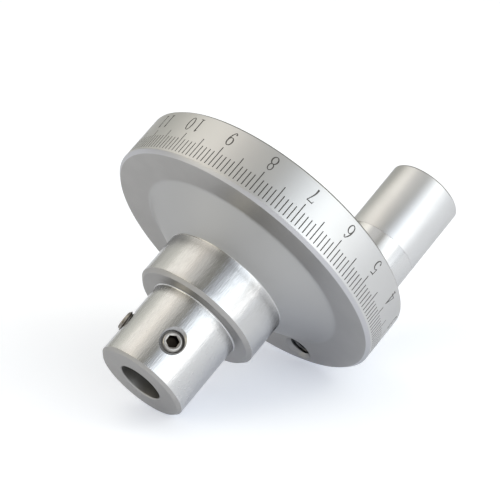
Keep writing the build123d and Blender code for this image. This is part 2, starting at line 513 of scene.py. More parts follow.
def figure_strokes(figure):
    """The overlapping strokes of a figure, which stands on y = 0, in the middle of figure_width."""
    if figure == 0:
        return [loop(0.95, 1.92, 0.76, 1.8, thin, thick)]
    if figure == 1:
        return [stroke([(0.95, 0.06, thick), (0.95, 3.8, thick)], bent=False),
                stroke([(0.5, 3.28, 0.12), (0.76, 3.5, mid), (0.9, 3.72, mid)]),
                stroke([(0.45, 0.1, thin), (1.45, 0.1, thin)], bent=False)]
    if figure == 2:
        return [stroke([(0.3, 2.85, thin), (0.38, 3.42, thin), (0.95, 3.72, thin), (1.55, 3.3, thick),
                        (1.48, 2.45, thick), (0.85, 1.35, mid), (0.2, 0.2, thin)]),
                stroke([(0.15, 0.17, 0.34), (1.1, 0.17, 0.34), (1.68, 0.22, mid), (1.8, 0.72, 0.14)]),
                dot(0.36, 2.88)]
    if figure == 3:
        return [stroke([(0.34, 3.1, thin), (0.85, 3.72, thin), (1.45, 3.25, thick), (1.38, 2.45, mid),
                        (0.7, 2.08, thin)]),
                stroke([(0.7, 2.06, thin), (1.4, 1.85, mid), (1.62, 1.05, thick), (1.3, 0.3, mid),
                        (0.75, 0.12, thin), (0.3, 0.5, thin)]),
                dot(0.4, 3.05), dot(0.34, 0.66)]
    if figure == 4:
        return [stroke([(1.28, 0.06, thick), (1.28, 3.8, thick)], bent=False),
                stroke([(1.3, 3.7, thin), (0.1, 1.05, thin)], bent=False),
                stroke([(-0.06, 1.03, thin), (1.9, 1.03, thin)], bent=False),
                stroke([(0.85, 0.09, thin), (1.72, 0.09, thin)], bent=False)]
    if figure == 5:
        return [stroke([(0.42, 3.62, mid), (1.1, 3.6, mid), (1.62, 3.76, 0.16)]),
                stroke([(0.46, 3.72, thin), (0.34, 2.0, thin)], bent=False),
                stroke([(0.34, 2.06, thin), (0.9, 2.42, thin), (1.55, 1.95, thick), (1.6, 0.95, thick),
                        (1.2, 0.25, mid), (0.7, 0.1, thin), (0.28, 0.5, thin)]),
                dot(0.34, 0.62)]
    if figure == 6:
        return [loop(0.95, 1.18, 0.7, 1.06, thin, thick),
                stroke([(0.25, 1.2, thick), (0.34, 2.2, thick), (0.72, 3.2, mid), (1.2, 3.7, thin),
                        (1.52, 3.4, thin)]),
                dot(1.46, 3.3)]
    if figure == 7:
        return [stroke([(0.2, 3.62, mid), (1.0, 3.6, mid), (1.75, 3.66, thin)]),
                stroke([(0.24, 3.72, thin), (0.14, 3.0, 0.12)], bent=False),
                stroke([(1.7, 3.62, thin), (1.22, 2.5, mid), (0.86, 1.3, thick), (0.8, 0.02, 0.5)])]
    if figure == 8:
        return [loop(0.95, 2.86, 0.58, 0.86, thin, mid), loop(0.95, 1.06, 0.72, 0.96, thin, thick)]
    return [turn_over(part) for part in figure_strokes(6)]


figures = {}
for figure in range(10):
    parts = figure_strokes(figure)
    solid = parts[0]
    for part in parts[1:]:
        cut(solid, part, "UNION")
    solid.data.name = f"figure_{figure}"
    figures[figure] = solid.data
    bpy.data.objects.remove(solid)
print("figures:", [len(data.polygons) for data in figures.values()])

# %% The twenty numbers, ready to be wrapped
figure_scale = 1.08
figure_advance = 3.0
labels = bpy.data.collections.new("numbers")
for number in range(division_count // divisions_per_number):
    digits = str(number)
    mesh = bmesh.new()
    for place, digit in enumerate(digits):
        before = len(mesh.verts)
        mesh.from_mesh(figures[int(digit)])
        mesh.verts.ensure_lookup_table()
        shift = (place - (len(digits) - 1) / 2) * figure_advance - figure_width * figure_scale / 2
        bmesh.ops.scale(mesh, vec=(figure_scale, figure_scale, 1), verts=mesh.verts[before:])
        bmesh.ops.translate(mesh, vec=(shift * mm, 0, 0), verts=mesh.verts[before:])
    bmesh.ops.triangulate(mesh, faces=mesh.faces)  # a flat face with many corners would warp on the rim
    data = bpy.data.meshes.new(f"number_{number:02d}")
    mesh.to_mesh(data)
    mesh.free()
    labels.objects.link(bpy.data.objects.new(data.name, data))

# %% Tree of the numbers
number_tree, group_in, group_out = new_tree("Numbers", [
    ("Labels", "Collection"), ("Count", "Int"), ("Radius", "Float"), ("Foot", "Float"), ("Shift", "Float"),
    ("Material", "Material")])
index = add_node(number_tree, "GeometryNodeInputIndex")
label_info = add_node(number_tree, "GeometryNodeCollectionInfo", {
    0: (group_in, "Labels"), "Separate Children": True, "Reset Children": True})
copies_round_rim(number_tree, group_in, group_out, {
    "Points": strip_points(number_tree, group_in, (group_in, "Foot"), (group_in, "Shift")),
    "Instance": (label_info, 0), "Pick Instance": True, "Instance Index": (index, 0)})

number_foot = rim_near - 12.6
number_shift = -0.25
numbers = grown("numbers", number_tree, {
    "Labels": labels, "Count": division_count // divisions_per_number, "Radius": wheel_radius * mm,
    "Foot": number_foot * mm, "Shift": number_shift * mm, "Material": scale_paint})
print("numbers:", len(numbers.data.polygons), "faces")

# %% [markdown]
# ## Threads and hexagon sockets
#
# A thread is a skin whose radius goes up and down as the angle turns, so the same rings make it. The Screw
# modifier would wind a profile into a helix as well, but it leaves open ends to close by hand. The tool for
# a tapped hole is such a skin too. Its grooves lie outside the hole's own wall, so that the screw that
# travels in the hole never meets them.

# %% Radii of a thread and of a hexagon
thread_pitch = 1.0
flank_slope = 2.3
groove_flat = 0.15
crest_flat = 1.15


def thread_height(angle, place):
    """How high the thread stands at a place, from 0 in its groove to 1 on its crest."""
    turn = (place / thread_pitch - angle / (2 * pi)) % 1.0
    return min(1.0, max(0.0, flank_slope * abs(turn - 0.5) - groove_flat) * crest_flat)


def hexagon_radius(angle, across_flats):
    """The distance from the middle of a hexagon to its outline in one direction."""
    return across_flats / 2 / cos((angle + pi / 6) % (pi / 3) - pi / 6)


def hexagon_row(across_flats, place):
    """A ring in the shape of a hexagon."""
    return lambda angle: (hexagon_radius(angle, across_flats), place)


print("a thread's height over one turn:", [round(thread_height(pi * part / 4, 0), 2) for part in range(8)])

# %% [markdown]
# ## Drilling, tapping and dividing the blank
#
# One exact boolean takes all the tools' shapes out of the blank: two cross holes with their countersinks,
# the tapped hole of the handle, two hundred lines and twenty numbers. The tools are joined into one mesh
# first, since they don't touch each other. The cut faces keep the material of the tool that made them, and
# that is how the lines and numbers get their dark fill and the holes their raw metal, with painted shade deep
# in the web hole.

# %% Tools for the holes
cross_hole_place = -10.1
left_screw_angle = -48.0
right_screw_angle = 42.0
hole_radius = 3.05
countersink_radius = 3.8
web_sink_radius = 4.0
tapped_depth = 0.3
tap_rings_per_mm = 10


def beside_bore(angle):
    """Turns a piece made upright on Y at the origin to point outwards at an angle from the top."""
    outwards = Matrix.Rotation(radians(angle), 4, "Y") @ Matrix.Rotation(radians(90), 4, "X")
    return Matrix.Translation((0, cross_hole_place * mm, 0)) @ outwards


def tapped_row(place):
    """A ring of the thread in a hole's wall."""
    return lambda angle: (hole_radius + tapped_depth * (1 - thread_height(angle, place)), place)


def hole_tool(name, bottom, thread_from, mouth, sink_radius, top):
    """A tap's shape on the Y axis: a plain wall, a threaded one above it, and a countersink at its mouth."""
    sink = sink_radius - hole_radius
    threaded = mouth - sink - thread_from
    steps = round(threaded * tap_rings_per_mm)
    rows = [(0, bottom), (hole_radius, bottom), (hole_radius, thread_from)]
    rows += [tapped_row(thread_from + threaded * step / steps) for step in range(1, steps)]
    rows += [(hole_radius, mouth - sink), (sink_radius, mouth), (sink_radius + top - mouth, top), (0, top)]
    return skin(name, rows, 60)


# The cross holes' tools end inside the bore, and the web hole's stands out of the far face.
tools = []
for angle in (left_screw_angle, right_screw_angle):
    cutter = hole_tool("cross_hole_tool", bottom=4.6, thread_from=5.2, mouth=nose_radius,
                       sink_radius=countersink_radius, top=nose_radius + 0.8)
    cutter.data.transform(beside_bore(angle))
    tools.append(cutter)
web_tool = hole_tool("web_hole_tool", bottom=rim_far - 0.4, thread_from=spigot_end - 0.5, mouth=rim_near,
                     sink_radius=web_sink_radius, top=rim_near + 0.3)
web_tool.data.transform(Matrix.Translation((0, 0, -handle_drop * mm)))
tools.append(web_tool)
print("tools for the holes:", [len(cutter.data.polygons) for cutter in tools], "faces")

# %% The tools joined into one mesh
# The web hole's countersink is anodised like the wheel, so it takes the wheel's own material.
cutter_mesh = bmesh.new()
own_metal, drilled, painted = range(3)
for tool_piece in tools + [lines, numbers]:
    before = len(cutter_mesh.faces)
    cutter_mesh.from_mesh(tool_piece.data)
    cutter_mesh.faces.ensure_lookup_table()
    for face in cutter_mesh.faces[before:]:
        is_sink = tool_piece == web_tool and face.calc_center_median().y > (rim_near - 1.0) * mm
        face.material_index = own_metal if is_sink else drilled if tool_piece in tools else painted
    bpy.data.objects.remove(tool_piece)
bmesh.ops.recalc_face_normals(cutter_mesh, faces=cutter_mesh.faces)
cutter_data = bpy.data.meshes.new("cutters")
cutter_mesh.to_mesh(cutter_data)
cutter_mesh.free()
for material in (None, drilled_metal, scale_paint):
    cutter_data.materials.append(material)
print("all tools:", len(cutter_data.polygons), "faces")

# %% All cuts at once
wheel.data.materials.append(None)
cut(wheel, linked("cutters", cutter_data), "DIFFERENCE")
print("wheel slots:", [slot.name for slot in wheel.material_slots])
smooth(wheel)
for label in list(labels.objects):
    bpy.data.objects.remove(label)
bpy.data.collections.remove(labels)
bpy.data.objects.remove(tool)
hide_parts("wheel")
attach(wheel, "wheel")

# %% [markdown]
# ## The two set screws
#
# Each is a cup point screw that holds the shaft by friction, made upright on Y and then laid into its hole.
# A helix swept along a curve would also make its thread, but its ends would need trimming. Here the thread
# runs out by itself under the chamfer of the outer end and under the point's cone: the radius is simply the
# smallest of the three.

# %% Set screws
screw_radius = 2.97
thread_depth = 0.5
screw_length = 5.0
socket_depth = 2.2
drill_radius = 1.3
drill_point = 0.25
screw_key = 3.0
mouth_radius = 1.79
chamfer_radius = 2.22
chamfer_slope = 1.25
cup_radius = 1.8
screw_rings = 110


def threaded_row(place, radius, limit):
    """A ring of a thread, no larger than a limiting radius."""
    return lambda angle: (min(limit, radius - thread_depth * (1 - thread_height(angle, place))), place)


def socket_mouth_row(across_flats, end, way=1):
    """The scalloped ring where a hexagon socket meets the cone at its mouth."""
    corner_radius = across_flats / 2 / cos(pi / 6)

    def row(angle):
        radius = hexagon_radius(angle, across_flats)
        return radius, end - way * (corner_radius + 0.06 - radius) / 2
    return row


def set_screw(name, angle, proud, turn):
    """One set screw, whose outer end stands proud of the nose, turned on its own axis by an angle."""
    end = nose_radius + proud
    tip = end - screw_length
    floor = end - socket_depth
    rows = [(0, floor - drill_point), (drill_radius, floor), hexagon_row(screw_key, floor),
            socket_mouth_row(screw_key, end), (mouth_radius, end), (chamfer_radius - 0.05, end),
            (chamfer_radius + 0.01, end - 0.02), (chamfer_radius + 0.06, end - 0.05)]
    for step in range(1, screw_rings):
        place = end - 0.05 - (screw_length - 0.11) * step / screw_rings
        limit = min(chamfer_radius + chamfer_slope * (end - place), cup_radius + place - tip)
        rows.append(threaded_row(place, screw_radius, limit))
    rows += [(cup_radius + 0.04, tip + 0.04), (cup_radius - 0.02, tip), (cup_radius - 0.1, tip + 0.04),
             (0, tip + 0.6)]
    piece = skin(name, rows, 96)
    piece.data.transform(beside_bore(angle) @ Matrix.Rotation(radians(turn), 4, "Y"))
    return smooth(piece)


left_proud, right_proud = -0.7, 0.9
left_screw = set_screw("left_set_screw", left_screw_angle, left_proud, turn=35)
right_screw = set_screw("right_set_screw", right_screw_angle, right_proud, turn=0)
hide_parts("set_screw_left")
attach(left_screw, "left_screw")
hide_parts("set_screw_right")
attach(right_screw, "right_screw")

# %% [markdown]
# ## The handle
#
# The handle is in two parts with a seam between them. The post is screwed into the wheel by its spigot and
# stands still. The grip turns on the post's journal in two bronze bushes, and a washer under a socket head
# screw keeps it on. Only the spigot's end, the post's base and the grip show from the front.
# The post could be cylinders joined to a thread by booleans. One skin from the spigot's end to the bottom of
# its own hole needs none, with the thread's rings first and then those of the turned part.

# %% Post
spigot_radius = 2.97
journal_radius = 5.0
post_hole_radius = 2.55
hole_bottom = journal_end + 11.0
post_chamfer = 0.3
post_seam = grip_inner_end + 0.09
thread_chamfer = 0.5
thread_to = spigot_end - 4.2
plain_from = spigot_end - 4.7
ring_step = 0.05
rows = [(0, spigot_end), (spigot_radius - thread_chamfer - 0.06, spigot_end),
        (spigot_radius - thread_chamfer, spigot_end - 0.05)]
for step in range(1, 80):
    place = spigot_end - 0.05 - step * ring_step
    rows.append(threaded_row(place, spigot_radius, spigot_radius - thread_chamfer + spigot_end - place))
rows += [(spigot_radius - thread_depth, thread_to), (spigot_radius, plain_from)]
rows += rounded([
    (spigot_radius, rim_far, 0), (handle_radius - post_chamfer, rim_far, 0.1),
    (handle_radius, rim_far - post_chamfer, 0.1), (handle_radius, post_seam, 0.02),
    (journal_radius, post_seam, 0.25), (journal_radius, journal_end + post_chamfer, 0.05),
    (journal_radius - post_chamfer, journal_end, 0.05), (post_hole_radius + 0.25, journal_end, 0),
    (post_hole_radius, journal_end + 0.25, 0), (post_hole_radius, hole_bottom, 0)])
rows.append((0, hole_bottom))
post = skin("handle_base", rows, 128)
post.data.transform(Matrix.Translation((0, 0, -handle_drop * mm)))
smooth(post)
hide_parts("handle_post")
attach(post, "wheel")

# %% [markdown]
# ## The grip
#
# The grip is a plain sleeve with a softly rounded outer end and a counterbore for the washer and the screw's
# head. A Bevel modifier would round its edges too, but the outline already holds each rounding, so the
# lathe piece is finished as it is.

# %% Grip
counterbore_radius = 7.1
washer_seat = journal_end + 0.1
bush_outer_radius = 6.04
grip_seam = grip_inner_end + 0.06
grip_chamfer = 0.5
counterbore_chamfer = 0.3
grip = turned("grip_sleeve", rounded([
    (bush_outer_radius, grip_seam, 0.1), (handle_radius, grip_seam, 0.02),
    (handle_radius, grip_outer_end + grip_chamfer, 0.5), (handle_radius - grip_chamfer, grip_outer_end, 0.5),
    (counterbore_radius + counterbore_chamfer, grip_outer_end, 0.05),
    (counterbore_radius, grip_outer_end + counterbore_chamfer, 0.05),
    (counterbore_radius, washer_seat, 0), (bush_outer_radius, washer_seat, 0.1)]), 128, handle_drop)
smooth(grip)
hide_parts("handle_grip")
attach(grip, "grip")

# %% [markdown]
# ## Bushes, washer and retaining screw
#
# These sit inside the grip, and only the washer and the screw's head show, in the grip's end. They are small
# lathe pieces with broken edges. The screw's head has a fine knurl, which is again a radius that changes
# round the ring, and its hexagon socket has the same mouth as those of the set screws.

# %% Bushes and washer
bush_inner_radius = 5.04
bush_edge = 0.15
for name, node in (("bush_at_seam", "inner_bush"), ("bush_at_end", "outer_bush")):
    low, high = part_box(node)
    near, far = from_box(high.y), from_box(low.y)
    bush = turned(name, rounded([
        (bush_inner_radius, near, bush_edge), (bush_outer_radius, near, bush_edge),
        (bush_outer_radius, far, bush_edge), (bush_inner_radius, far, bush_edge)]), 96, handle_drop)
    smooth(bush)
    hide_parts(node)
    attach(bush, "grip")

washer_near, washer_far = from_box(washer_high.y), from_box(washer_low.y)
washer_inner_radius = 2.7
washer_outer_radius = 7.0
washer = turned("end_washer", rounded([
    (washer_inner_radius, washer_near, 0.1), (washer_outer_radius, washer_near, 0.2),
    (washer_outer_radius, washer_far, 0.35), (washer_inner_radius, washer_far, 0.1)]), 96, handle_drop)
smooth(washer)
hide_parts("retaining_washer")
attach(washer, "wheel")

# %% Retaining screw
head_radius = 4.25
shank_radius = 2.5
shank_chamfer = 0.45
shank_pitch = 0.8
shank_thread_depth = 0.42
knurl_depth = 0.12
knurl_teeth = 36
head_key = 4.0
head_socket_depth = 2.5
head_drill_radius = 1.7
head_end, shank_end = from_box(screw_low.y), from_box(screw_high.y)


def shank_row(place):
    """A ring of the shank's finer thread, which runs out under the chamfer of its end."""
    limit = shank_radius - shank_chamfer + shank_end - place

    def row(angle):
        groove = 1 - thread_height(angle, place * thread_pitch / shank_pitch)
        return min(limit, shank_radius - shank_thread_depth * groove), place
    return row


def knurled_row(place):
    """A ring of the head, with small teeth."""
    return lambda angle: (head_radius - knurl_depth * abs(sin(knurl_teeth / 2 * angle)), place)


rows = [(0, shank_end), (shank_radius - shank_chamfer, shank_end)]
rows += [shank_row(shank_end - 0.1 * step) for step in range(1, 80)]
# The thread runs out, then come the plain shank and the head, with its knurl and its rounded end.
rows += [(shank_radius - 0.2, shank_end - 8.2), (shank_radius, shank_end - 8.6), (shank_radius, washer_far),
         (head_radius - 0.25, washer_far), knurled_row(washer_far - 0.2), knurled_row(head_end + 0.7),
         (head_radius - 0.14, head_end + 0.45), (head_radius - 0.25, head_end + 0.2),
         (head_radius - 0.5, head_end + 0.03), (head_radius - 0.65, head_end), (2.44, head_end),
         socket_mouth_row(head_key, head_end, way=-1), hexagon_row(head_key, head_end + head_socket_depth),
         (head_drill_radius, head_end + head_socket_depth), (0, head_end + head_socket_depth + 0.3)]
end_screw = skin("end_screw", rows, 144)
end_screw.data.transform(Matrix.Translation((0, 0, -handle_drop * mm)))
smooth(end_screw)
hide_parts("retaining_screw")
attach(end_screw, "wheel")

# %% [markdown]
# ## Materials
#
# A turned surface shows very fine rings round its axis. The nose and the collar were finished along the
# axis, and show short streaks that way instead. Patches are large soft areas that are a little rougher.
# An image texture could hold such marks, but it would need every piece unwrapped, and it blurs close up.
# Noise textures don't. The marks that several materials share are shader groups. Their patterns use Object
# coordinates, which a Mapping node moves to the axis of the piece, and they put out only values and vectors.

# %% Shader groups
def new_group(name, outputs):
    """A shader group that reads a place, with outputs given as (name, kind)."""
    group = bpy.data.node_groups.new(name, "ShaderNodeTree")
    group.interface.new_socket("Place", in_out="INPUT", socket_type="NodeSocketVector")
    for title, kind in outputs:
        group.interface.new_socket(title, in_out="OUTPUT", socket_type=f"NodeSocket{kind}")
    return group, group.nodes.new("NodeGroupInput"), group.nodes.new("NodeGroupOutput")


def placed(tree, group, place):
    """A shader group in a tree, fed with a place."""
    return add_node(tree, "ShaderNodeGroup", {"Place": place}, node_tree=group)


# %% Noise and ramps
def noise(tree, vector, scale, detail, roughness):
    """A noise texture's value."""
    return add_node(tree, "ShaderNodeTexNoise", {
        "Vector": vector, "Scale": scale, "Detail": detail, "Roughness": roughness}).outputs[0]


def ramp_between(tree, value, low, high, to_low=0.0, to_high=1.0):
    """Maps a value smoothly from one range to another."""
    return add_node(tree, "ShaderNodeMapRange", {
        "Value": value, "From Min": low, "From Max": high, "To Min": to_low, "To Max": to_high},
        interpolation_type="SMOOTHSTEP").outputs[0]


# %% Place round an axis, in millimetres
round_group, group_in, group_out = new_group("Round the Axis", [
    ("Angle", "Float"), ("Radius", "Float"), ("Along", "Float"), ("Millimetres", "Vector")])
scaled = add_node(
    round_group, "ShaderNodeVectorMath", {0: (group_in, "Place"), "Scale": 1 / mm}, operation="SCALE")
parts = add_node(round_group, "ShaderNodeSeparateXYZ", {0: (scaled, 0)})
x_squared, z_squared = (calculate(round_group, "MULTIPLY", (parts, axis), (parts, axis)) for axis in "XZ")
squares = calculate(round_group, "ADD", x_squared, z_squared)
feed(round_group, group_out, {
    "Angle": calculate(round_group, "ARCTAN2", (parts, "X"), (parts, "Z")),
    "Radius": calculate(round_group, "SQRT", squares), "Along": (parts, "Y"), "Millimetres": (scaled, 0)})
print(round_group.name, "has", len(round_group.nodes), "nodes")

# %% Streaks along the axis, rings round it, grain and patches
# How often each mark changes, in a radian round the axis or in a millimetre.
streaks_per_radian = 42.0
streaks_per_mm = 0.45
rings_per_mm = 7.0
rings_per_radian = 0.25
marks_group, group_in, group_out = new_group("Tool Marks", [
    ("Streaks", "Float"), ("Rings", "Float"), ("Grain", "Float"), ("Patches", "Float")])
around = placed(marks_group, round_group, (group_in, "Place"))


def times(socket, factor):
    """One of the group's sockets, multiplied."""
    return calculate(marks_group, "MULTIPLY", socket, factor)


streak_place = vector_of(
    marks_group, times(calculate(marks_group, "SINE", (around, "Angle")), streaks_per_radian),
    times((around, "Along"), streaks_per_mm),
    times(calculate(marks_group, "COSINE", (around, "Angle")), streaks_per_radian))
ring_place = vector_of(marks_group, times((around, "Radius"), rings_per_mm),
                       times((around, "Along"), rings_per_mm), times((around, "Angle"), rings_per_radian))
for output, place, scale, detail, roughness in (
        ("Streaks", streak_place, 1.0, 2.0, 0.5),
        ("Rings", ring_place, 1.0, 2.0, 0.6),
        ("Grain", (around, "Millimetres"), 5.0, 3.0, 0.65),
        ("Patches", (around, "Millimetres"), 0.12, 3.0, 0.55)):
    feed(marks_group, group_out, {output: noise(marks_group, place, scale, detail, roughness)})
print(marks_group.name, "has", len(marks_group.nodes), "nodes")


# %% Places on a piece, bumps and colours
def centred_place(tree, drop=0.0):
    """Object coordinates, raised by a drop in millimetres, so that the piece's axis is Y at the origin."""
    coordinates = add_node(tree, "ShaderNodeTexCoord")
    return add_node(tree, "ShaderNodeMapping", {
        "Vector": (coordinates, "Object"), "Location": (0, 0, drop * mm)}).outputs[0]


def round_axis(tree, drop=0.0):
    """Angle, radius and place along the axis of the piece."""
    return placed(tree, round_group, centred_place(tree, drop))


def bumped(tree, height, distance, normal=None):
    """A Bump node on a height between 0 and 1, with its distance in millimetres."""
    node = add_node(tree, "ShaderNodeBump", {"Height": height, "Distance": distance * mm})
    if normal is not None:
        feed(tree, node, {"Normal": normal})
    return node.outputs[0]


def mixed_colour(tree, factor, first, second):
    """A colour between two, each a colour or a socket, by a factor."""
    first, second = ((*colour, 1) if isinstance(colour, tuple) else colour for colour in (first, second))
    return add_node(tree, "ShaderNodeMix", {0: factor, 6: first, 7: second}, data_type="RGBA").outputs[2]


def tinted(tree, shader, factor, colour):
    """Blends the shader's base colour into another one, by a factor."""
    own_colour = shader.inputs["Base Color"].links[0].from_socket
    feed(tree, shader, {"Base Color": mixed_colour(tree, factor, own_colour, colour)})


# %% A metal with marks
def metal(name, light, dark, roughness, drop=0.0, rings=0.003, grain=0.002, spread=0.02):
    """A metal between two close colours, with rings round its axis, grain and rougher patches."""
    material, shader = blank_material(name)
    tree = material.node_tree
    marks = placed(tree, marks_group, centred_place(tree, drop))
    patches = ramp_between(tree, (marks, "Patches"), 0.3, 0.7)
    smoothest, roughest = roughness - spread / 2, roughness + spread / 2
    normal = bumped(tree, (marks, "Rings"), rings)
    feed(tree, shader, {
        "Metallic": 1.0, "Specular Tint": (0.75, 0.75, 0.75, 1),
        "Base Color": mixed_colour(tree, patches, light, dark),
        "Roughness": ramp_between(tree, (marks, "Patches"), 0.3, 0.7, smoothest, roughest),
        "Normal": bumped(tree, (marks, "Grain"), grain, normal)})
    print("metal:", name)
    return material, tree, shader, marks


# %% [markdown]
# ## Finishes of the wheel
#
# The wheel has three finishes. Its rim is matt, clear anodised aluminium. Its faces have the lathe's fine
# grooves in circles, which spread a reflection across them. Grooves of real geometry would be finer than a
# pixel, so the shader's Anisotropic value does it, with a Radial tangent round Y. The nose and the collar
# were polished along the axis, and mirror the room in soft streaks.
# Faces are picked by their place on the blank. Those that a tool has cut keep the tool's material. Lighter
# tints on the near chamfer and on the cone are painted light, where these faces look brighter.

# %% Anodised rim
aluminium_light = (0.375, 0.368, 0.363)
aluminium_dark = (0.36, 0.353, 0.349)
anodised, tree, shader, _ = metal(
    "anodised_aluminium", aluminium_light, aluminium_dark, roughness=0.42, rings=0.002, grain=0.004)
on_rim = ramp_between(tree, (round_axis(tree), "Radius"), wheel_radius - 0.2, wheel_radius - 0.1)
tinted(tree, shader, on_rim, (0.535, 0.533, 0.535))
wheel.data.materials[own_metal] = anodised


# %% Helpers for the turned faces and the hub
quarter_turn = 0.25


def grooved(tree, shader, amount):
    """Fine grooves round the Y axis, which spread a reflection across them."""
    grooves = add_node(tree, "ShaderNodeTangent", direction_type="RADIAL", axis="Y")
    feed(tree, shader, {"Anisotropic": amount, "Anisotropic Rotation": quarter_turn, "Tangent": (grooves, 0)})


def refinish(material, chosen):
    """Gives a material to the wheel's uncut faces that a test of radius and place chooses."""
    wheel.data.materials.append(material)
    count = 0
    for face in wheel.data.polygons:
        middle = face.center / mm
        radius = (middle.x ** 2 + middle.z ** 2) ** 0.5
        if face.material_index == own_metal and chosen(radius, middle.y):
            face.material_index = len(wheel.data.materials) - 1
            count += 1
    print(material.name, "on", count, "faces")


# %% Turned faces
turned_face, tree, shader, _ = metal(
    "turned_face", aluminium_light, aluminium_dark, roughness=0.42, rings=0.002, grain=0.004)
grooved(tree, shader, 0.5)
around = round_axis(tree)
near_side = ramp_between(tree, (around, "Along"), rim_near - 2.0, rim_near - 1.0)
# The cone is tinted lighter than the flat ring as painted light.
cone_painted_light = ramp_between(tree, (around, "Radius"), cone_foot_radius + 1.0, cone_foot_radius)
tinted(tree, shader, calculate(tree, "MULTIPLY", cone_painted_light, near_side), (0.41, 0.408, 0.408))
# The near chamfer is tinted lighter and cooler as a painted highlight along the edge.
chamfer_from = wheel_radius - rim_chamfer - 0.05
chamfer_painted_highlight = ramp_between(tree, (around, "Radius"), chamfer_from, chamfer_from + 0.1)
tinted(tree, shader, calculate(tree, "MULTIPLY", chamfer_painted_highlight, near_side), (0.5, 0.5, 0.525))


def is_turned_face(radius, place):
    """The cone, the flat ring and its chamfer, and the whole far face."""
    on_front = place > rim_near - 0.8 and collar_radius + 0.1 < radius < wheel_radius - 0.05
    return on_front or place < rim_far + 0.2


refinish(turned_face, is_turned_face)

# %% Polished nose and collar
turned_hub, tree, shader, marks = metal(
    "turned_hub", (0.56, 0.56, 0.565), (0.54, 0.54, 0.545), roughness=0.27)
grooved(tree, shader, 0.65)
on_collar = ramp_between(tree, (round_axis(tree), "Radius"), nose_radius + 2.5, collar_radius - 0.5)
# The collar is tinted darker than the nose as painted shade, on the same polished metal.
tinted(tree, shader, on_collar, (0.51, 0.51, 0.515))
streaked = ramp_between(tree, (marks, "Streaks"), 0.3, 0.7, 0.21, 0.28)
smoother = calculate(tree, "MULTIPLY", on_collar, 0.04)
feed(tree, shader, {"Roughness": calculate(tree, "SUBTRACT", streaked, smoother),
                    "Normal": bumped(tree, (marks, "Streaks"), 0.028)})


def is_hub_side(radius, place):
    """The cylinders of the nose and of the collar."""
    on_nose = abs(radius - nose_radius) < 0.2 and place > collar_front
    on_collar = collar_radius - 0.2 < radius < collar_radius + 0.4 and cone_top - 0.1 < place < collar_front
    return on_nose or on_collar


refinish(turned_hub, is_hub_side)

# %% [markdown]
# ## Fill of the scale, and raw metal in the holes
#
# The lines and numbers are filled with a dark, slightly worn paint. The drilled holes are rougher than the
# turned faces. Both are grainy rather than ringed, so they share one helper, and differ in colours and in
# how deep the grain goes. The web hole, far from the axis, is tinted dark as painted shade deep in the hole.

# %% Dark fill and drilled metal
def grainy(material, shader, colours, contrast, roughness, depth):
    """Grain in the colour, the roughness and the surface, with pairs for the first three."""
    tree = material.node_tree
    marks = placed(tree, marks_group, centred_place(tree))
    factor = ramp_between(tree, (marks, "Grain"), *contrast)
    feed(tree, shader, {
        "Base Color": mixed_colour(tree, factor, *colours),
        "Roughness": ramp_between(tree, (marks, "Grain"), 0.3, 0.7, *roughness),
        "Normal": bumped(tree, (marks, "Grain"), depth)})
    print("grainy:", material.name)
    return tree


grainy(scale_paint, scale_shader, ((0.062, 0.058, 0.054), (0.1, 0.095, 0.09)),
       contrast=(0.35, 0.65), roughness=(0.5, 0.7), depth=0.01)
tree = grainy(drilled_metal, drilled_shader, ((0.43, 0.43, 0.437), (0.34, 0.34, 0.347)),
              contrast=(0.3, 0.7), roughness=(0.3, 0.42), depth=0.006)
feed(tree, drilled_shader, {"Metallic": 1.0})
web_hole_from = 20.0
# The web hole's wall is tinted dark as painted shade deep in the hole.
web_hole_painted_shade = ramp_between(tree, (round_axis(tree), "Radius"), web_hole_from, web_hole_from + 1.0)
tinted(tree, drilled_shader, web_hole_painted_shade, (0.1, 0.1, 0.103))

# %% [markdown]
# ## The other metals
#
# The post is brighter than the grip, which is satin. The bushes are sintered bronze, the washer is zinc
# plated and the retaining screw is black. All come from the same function with other colours, roughness and
# grain. The post's spigot, at the bottom of the web hole, is tinted dark as painted shade, and its smaller
# radius marks it.

# %% Handle's metals
polished, tree, shader, _ = metal(
    "polished_post", (0.6, 0.6, 0.605), (0.58, 0.58, 0.585), 0.24, handle_drop, rings=0.001, grain=0.0005)
from_axis = (round_axis(tree, handle_drop), "Radius")
# The spigot, deep in the web hole, is tinted dark as painted shade.
spigot_painted_shade = ramp_between(tree, from_axis, spigot_radius + 0.13, spigot_radius + 0.03)
tinted(tree, shader, spigot_painted_shade, (0.05, 0.05, 0.052))
satin, *_ = metal("grip_aluminium", (0.6, 0.6, 0.607), (0.58, 0.58, 0.587), 0.38, handle_drop)
bronze, *_ = metal("bronze", (0.55, 0.36, 0.16), (0.45, 0.28, 0.12), 0.42, handle_drop, grain=0.01)
zinc, *_ = metal("zinc_steel", (0.62, 0.62, 0.64), (0.5, 0.52, 0.56), 0.3, handle_drop)
black, *_ = metal("black_steel", (0.06, 0.06, 0.065), (0.035, 0.035, 0.04), 0.38, grain=0.008)
for name, material in (("handle_base", polished), ("grip_sleeve", satin), ("bush_at_seam", bronze),
                       ("bush_at_end", bronze), ("end_washer", zinc), ("end_screw", black)):
    bpy.data.objects[name].data.materials.append(material)
